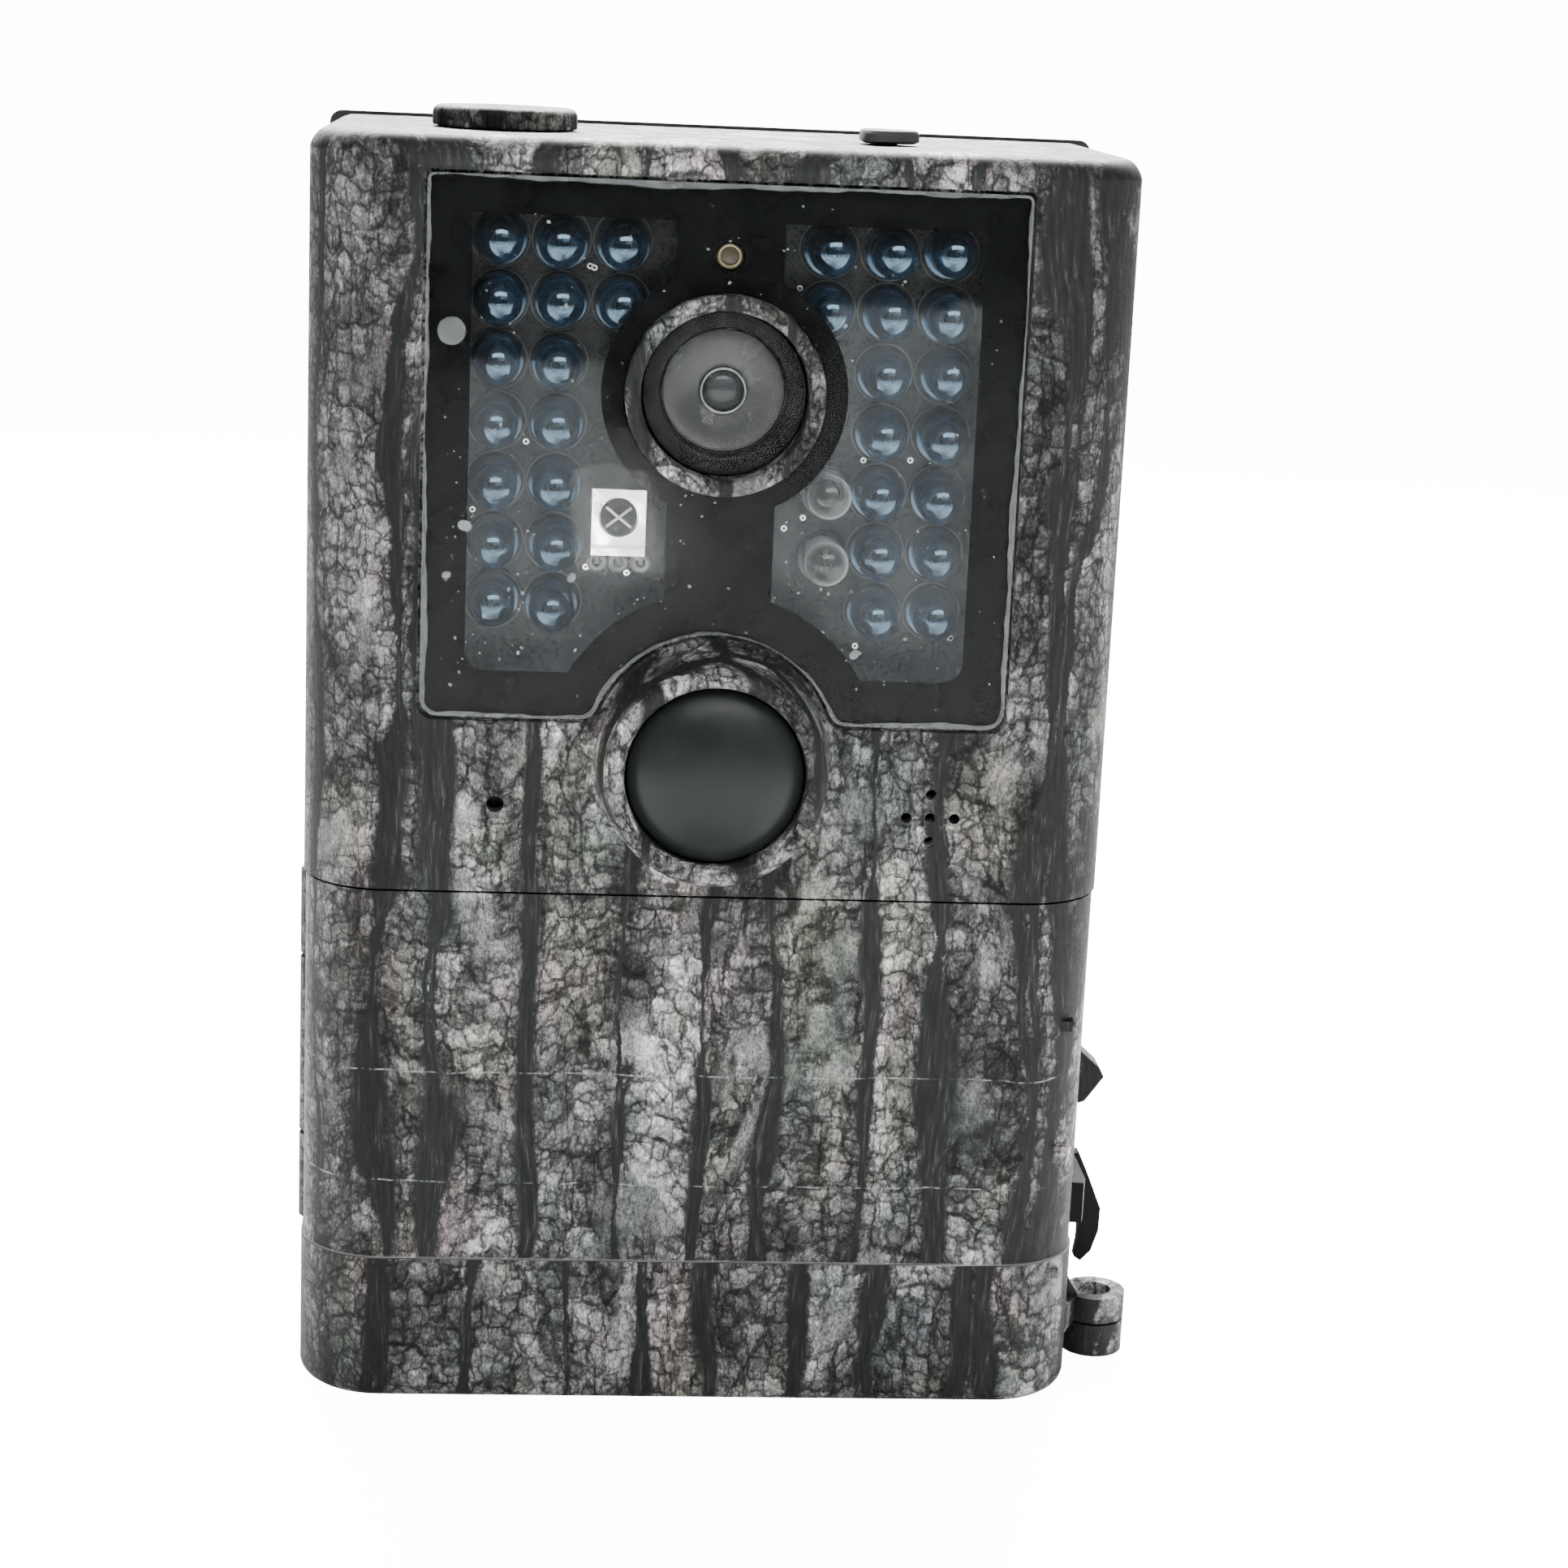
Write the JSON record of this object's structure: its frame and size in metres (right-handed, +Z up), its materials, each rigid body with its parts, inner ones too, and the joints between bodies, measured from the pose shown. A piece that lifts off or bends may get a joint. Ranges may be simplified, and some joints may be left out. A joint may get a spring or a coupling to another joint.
{
  "type": "trail camera",
  "caption": "Compact wildlife trail camera: lamp and lens window, domed motion-sensor collar, side-hinged lower door, latch and padlock ears, pull-out battery tray.",
  "frame": {"origin": "centre of the housing's base, on the plane it stands on", "axes": "+X to the right as seen from the front, +Y from the front face to the back, +Z up"},
  "size_m": [0.0989, 0.0833, 0.1449],
  "materials": {
    "camouflage": "matte bark-pattern camouflage film",
    "dark_plastic": "fine matte",
    "mask_black": "satin print",
    "window_clear": "clear, lightly hazed",
    "lamp_clear": "clear lamp epoxy, faint blue",
    "board": "solder mask",
    "steel": "satin",
    "brass": "satin",
    "rubber": "matte",
    "fresnel": "satin moulded lens",
    "panel_grey": "fine matte",
    "screen_dark": "gloss",
    "cell_sleeve": "plain gloss sleeve",
    "key_grey": "matte"
  },
  "bodies": {
    "camera": {"bracket_screw_1": "steel", "bracket_screw_2": "steel", "bracket_screw_3": "steel", "bracket_screw_4": "steel", "card_slot": "steel", "case_screw_1": "steel", "case_screw_2": "steel", "case_screw_3": "steel", "case_screw_4": "steel", "control_panel": "panel_grey", "dc_jack": "dark_plastic", "front_housing": "camouflage", "hinge_pin": "steel", "indicator_led_lower": "lamp_clear", "indicator_led_upper": "lamp_clear", "ir_receiver": "steel", "latch_pin": "steel", "led_board": "lamp_clear", "lens_barrel": "dark_plastic", "lens_bezel": "camouflage", "lens_cover": "window_clear", "lens_element": "window_clear", "lens_holder": "dark_plastic", "light_sensor": "brass", "main_board": "board", "microphone": "steel", "pir_lens": "fresnel", "pir_sensor": "steel", "rear_bracket": "dark_plastic", "rear_housing": "camouflage", "rim_gasket": "rubber", "screen": "screen_dark", "sensor_board": "board", "speaker": "dark_plastic", "tripod_insert": "brass", "usb_socket": "steel", "window_mask": "mask_black", "window_panel": "window_clear"},
    "door": {"lower_door": "camouflage", "door_seal": "rubber"},
    "latch_lever": {"latch_lever": "dark_plastic"},
    "button_up": {"button_up": "key_grey"},
    "button_down": {"button_down": "key_grey"},
    "button_left": {"button_left": "key_grey"},
    "button_right": {"button_right": "key_grey"},
    "button_ok": {"button_ok": "key_grey"},
    "mode_switch": {"mode_switch": "key_grey"},
    "memory_card": {"memory_card": "dark_plastic"},
    "tray_release": {"tray_release": "dark_plastic"},
    "dc_plug": {"dc_plug": "rubber"},
    "antenna_cap": {"antenna_cap": "camouflage"},
    "top_plug": {"top_plug": "rubber"},
    "battery_tray": {"battery_tray": "dark_plastic", "battery_cell_1": "cell_sleeve", "battery_cell_2": "cell_sleeve", "battery_cell_3": "cell_sleeve", "battery_cell_4": "cell_sleeve", "contact_plate": "brass"}
  },
  "joints": [
    {"name": "door_hinge", "type": "hinge", "parent": "camera", "child": "door", "pos_m": [-0.0436, -0.0175, 0.0375], "axis": [0, 0, -1], "range_deg": [0, 105]},
    {"name": "latch_pivot", "type": "hinge", "parent": "camera", "child": "latch_lever", "pos_m": [0.0445, -0.014, 0.0175], "axis": [0, 0, 1], "range_deg": [0, 50]},
    {"name": "button_up_press", "type": "slide", "parent": "camera", "child": "button_up", "axis": [0, 1, 0], "range_m": [0, 0.0008], "stiffness_N_per_m": 400, "springref_m": -0.0005},
    {"name": "button_down_press", "type": "slide", "parent": "camera", "child": "button_down", "axis": [0, 1, 0], "range_m": [0, 0.0008], "stiffness_N_per_m": 400, "springref_m": -0.0005},
    {"name": "button_left_press", "type": "slide", "parent": "camera", "child": "button_left", "axis": [0, 1, 0], "range_m": [0, 0.0008], "stiffness_N_per_m": 400, "springref_m": -0.0005},
    {"name": "button_right_press", "type": "slide", "parent": "camera", "child": "button_right", "axis": [0, 1, 0], "range_m": [0, 0.0008], "stiffness_N_per_m": 400, "springref_m": -0.0005},
    {"name": "button_ok_press", "type": "slide", "parent": "camera", "child": "button_ok", "axis": [0, 1, 0], "range_m": [0, 0.0008], "stiffness_N_per_m": 400, "springref_m": -0.0005},
    {"name": "mode_switch_slide", "type": "slide", "parent": "camera", "child": "mode_switch", "axis": [1, 0, 0], "range_m": [-0.0036, 0.0036]},
    {"name": "memory_card_slide", "type": "slide", "parent": "camera", "child": "memory_card", "axis": [0, -1, 0], "range_m": [0, 0.004]},
    {"name": "battery_tray_slide", "type": "slide", "parent": "camera", "child": "battery_tray", "axis": [0, 0, -1], "range_m": [0, 0.06]},
    {"name": "tray_release_press", "type": "slide", "parent": "camera", "child": "tray_release", "axis": [0, 0, 1], "range_m": [0, 0.0012], "stiffness_N_per_m": 300, "springref_m": -0.001},
    {"name": "dc_plug_pull", "type": "slide", "parent": "camera", "child": "dc_plug", "axis": [0, 0, -1], "range_m": [0, 0.008]},
    {"name": "antenna_cap_turn", "type": "hinge", "parent": "camera", "child": "antenna_cap", "pos_m": [-0.0244, -0.0135, 0.1425], "axis": [0, 0, 1], "range_deg": [0, 360]},
    {"name": "top_plug_pull", "type": "slide", "parent": "camera", "child": "top_plug", "axis": [0, 0, 1], "range_m": [0, 0.006]}
  ]
}
